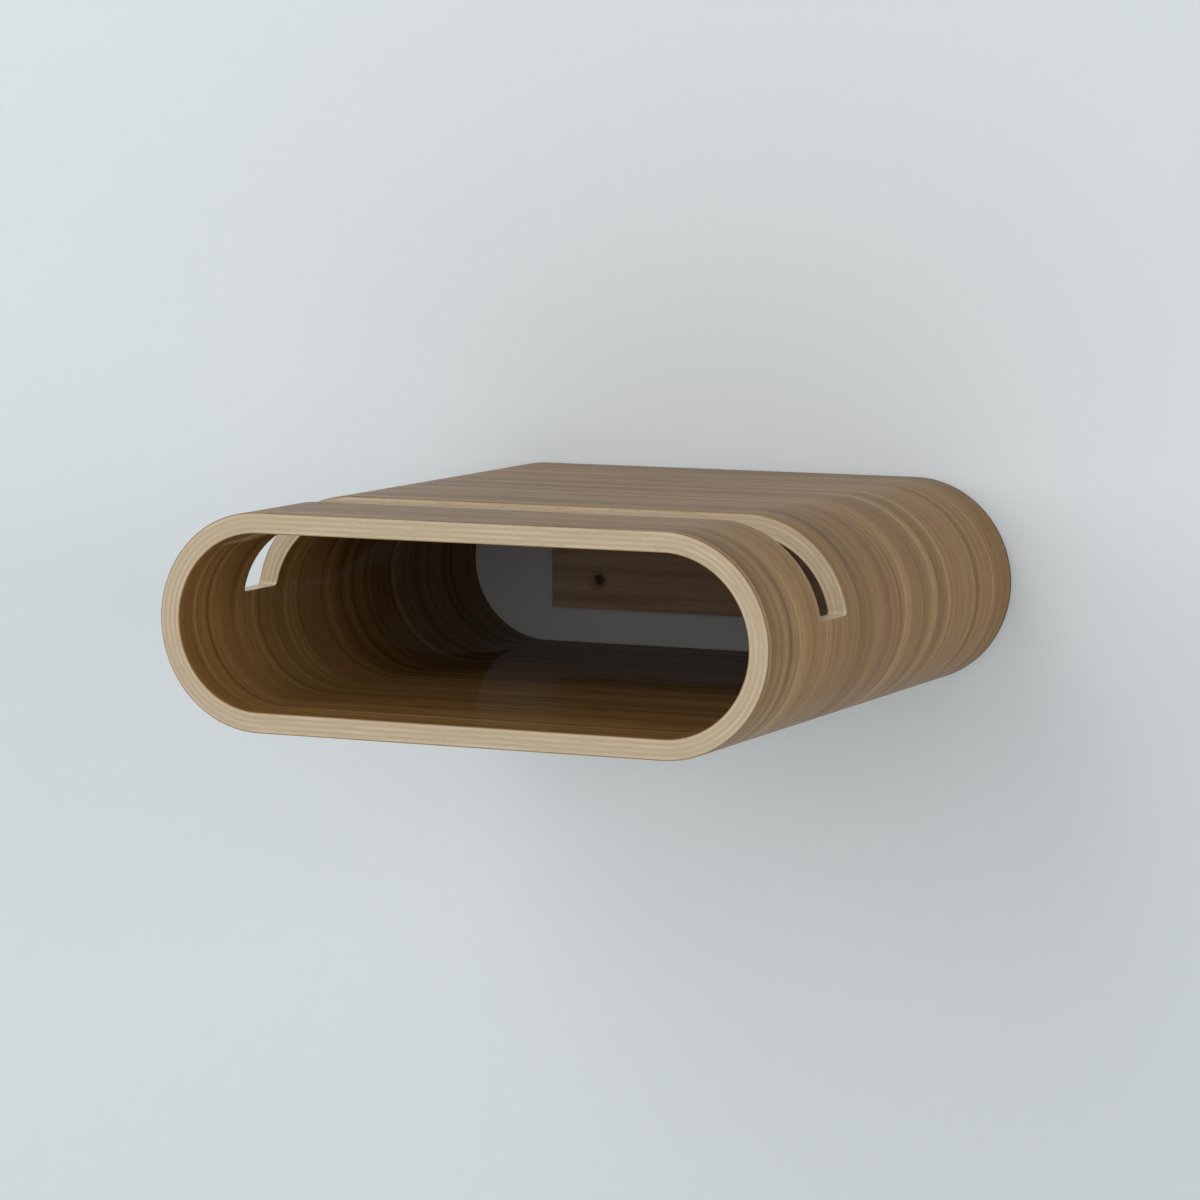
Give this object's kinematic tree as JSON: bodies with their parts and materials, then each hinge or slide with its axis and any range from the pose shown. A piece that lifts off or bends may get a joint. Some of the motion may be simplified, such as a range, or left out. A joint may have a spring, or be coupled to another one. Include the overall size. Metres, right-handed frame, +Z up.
{
  "type": "bicycle wall rack",
  "caption": "Bent plywood tube of racetrack section that stands out from a wall, slotted across its top for a bicycle's top tube and hung on a hidden bevelled rail.",
  "frame": {"origin": "on the wall's surface, midway between the two wall screws; the tube's mid-height is 7 mm above it", "axes": "+X right along the wall as seen from the room, +Y into the wall, +Z up; the open front faces -Y"},
  "size_m": [0.3, 0.3, 0.1],
  "materials": {
    "walnut_veneer": "clear gloss lacquer",
    "birch_ply": "sanded edge, satin",
    "birch_cross_ply": "sanded end grain, satin",
    "rail_beech": "bare planed wood",
    "screw_steel": "zinc plated"
  },
  "bodies": {
    "wall_rail": {"wall_rail": "rail_beech"},
    "shell": {"outer_veneer": "walnut_veneer", "core_ply_1": "birch_ply", "core_ply_2": "birch_cross_ply", "core_ply_3": "birch_ply", "core_ply_4": "birch_cross_ply", "core_ply_5": "birch_ply", "core_ply_6": "birch_cross_ply", "core_ply_7": "birch_ply", "inner_veneer": "walnut_veneer", "hanging_rail": "rail_beech", "hanging_rail_screws": "screw_steel"}
  },
  "joints": [
    {"name": "lift_off", "type": "slide", "parent": "wall_rail", "child": "shell", "axis": [0, -0.7071, 0.7071], "range_m": [0, 0.04]}
  ]
}
